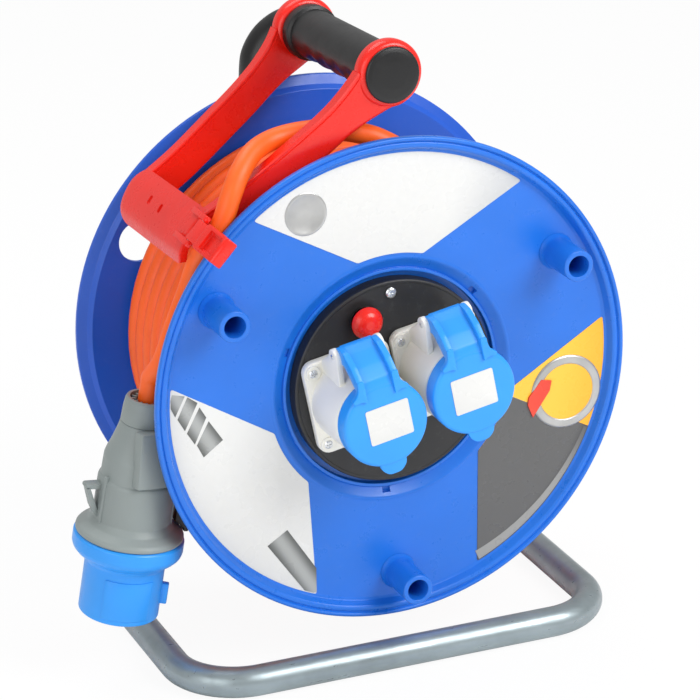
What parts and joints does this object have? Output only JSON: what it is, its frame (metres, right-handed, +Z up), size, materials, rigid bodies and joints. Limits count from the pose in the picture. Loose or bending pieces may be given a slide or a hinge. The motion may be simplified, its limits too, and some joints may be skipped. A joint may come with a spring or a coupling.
{
  "type": "extension cord reel",
  "caption": "Open drum of wound cable on a bent tube stand, with lidded outlets, overload reset, guide bail on the carrying grip and a round pin plug on the free end.",
  "frame": {"origin": "floor level, under the middle of the reel's box measured without its free cable and plug", "axes": "+Z up, -Y to the front, where the outlets face, +X to the right seen from the front"},
  "size_m": [0.3314, 0.227, 0.3712],
  "materials": {
    "blue": "moulded, smooth",
    "deep_blue": "moulded, smooth",
    "lid_blue": "moulded, smooth",
    "red": "moulded, smooth",
    "orange": "smooth cable sheath",
    "black": "moulded, satin",
    "grey": "moulded, satin",
    "pale": "moulded, smooth",
    "zinc": "zinc plated",
    "steel": "bare",
    "brass": "turned"
  },
  "bodies": {
    "stand": {"stand_tube": "zinc", "bracket_plate": "steel", "bracket_strap": "steel", "bracket_bolt_left": "zinc", "bracket_bolt_right": "zinc", "axle": "steel", "axle_nut": "zinc", "thrust_washer": "steel", "retaining_ring": "steel", "handle_neck": "black", "grip_rod": "steel", "grip": "black", "grip_end_cap": "black"},
    "drum": {"front_flange": "blue", "rear_flange": "deep_blue", "winding_peg_left": "blue", "winding_peg_right": "blue", "winding_peg_lower": "blue", "drum_barrel": "blue", "axle_bush": "brass", "barrel_gland": "black", "terminal_block": "pale", "cable_inner_layers": "orange", "cable_outer_layer": "orange", "socket_panel": "black", "panel_screw": "steel", "cutout_case": "black", "left_socket_body": "pale", "left_socket_insert": "pale", "left_lid_pin": "steel", "left_lid_spring": "steel", "left_socket_screw_upper_left": "steel", "left_socket_screw_upper_right": "steel", "left_socket_screw_lower_left": "steel", "left_socket_screw_lower_right": "steel", "right_socket_body": "pale", "right_socket_insert": "pale", "right_lid_pin": "steel", "right_lid_spring": "steel", "right_socket_screw_upper_left": "steel", "right_socket_screw_upper_right": "steel", "right_socket_screw_lower_left": "steel", "right_socket_screw_lower_right": "steel"},
    "bail": {"guide_bail": "red", "clip_pin": "steel", "cable_free_end": "orange", "plug_gland_nut": "grey", "plug_housing": "grey", "plug_collar": "lid_blue", "plug_catch": "black", "plug_earth_pin": "brass", "plug_live_pin": "brass", "plug_neutral_pin": "brass"},
    "clip": {"cable_clip": "red"},
    "left_cover": {"left_lid": "lid_blue"},
    "right_cover": {"right_lid": "lid_blue"},
    "reset": {"reset_button": "red"}
  },
  "joints": [
    {"name": "drum_spin", "type": "hinge", "parent": "stand", "child": "drum", "pos_m": [0, 0, 0.171], "axis": [0, 1, 0], "continuous": true},
    {"name": "bail_swing", "type": "hinge", "parent": "stand", "child": "bail", "pos_m": [0, -0.06255, 0.3521], "axis": [0, 0.999, -0.0454], "range_deg": [0, 90]},
    {"name": "clip_swing", "type": "hinge", "parent": "bail", "child": "clip", "pos_m": [-0.11387, -0.05205, 0.27498], "axis": [-0.6743, 0, -0.7385], "range_deg": [0, 70]},
    {"name": "left_lid_hinge", "type": "hinge", "parent": "drum", "child": "left_cover", "pos_m": [-0.03474, -0.08855, 0.20657], "axis": [-0.9816, 0, -0.1908], "range_deg": [0, 110], "stiffness_Nm_per_rad": 0.02, "springref_deg": -28.65},
    {"name": "right_lid_hinge", "type": "hinge", "parent": "drum", "child": "right_cover", "pos_m": [0.01906, -0.08855, 0.21707], "axis": [-0.9816, 0, -0.1908], "range_deg": [0, 110], "stiffness_Nm_per_rad": 0.02, "springref_deg": -28.65},
    {"name": "reset_press", "type": "slide", "parent": "drum", "child": "reset", "axis": [0, 1, 0], "range_m": [0, 0.003], "stiffness_N_per_m": 800, "springref_m": -0.002}
  ]
}
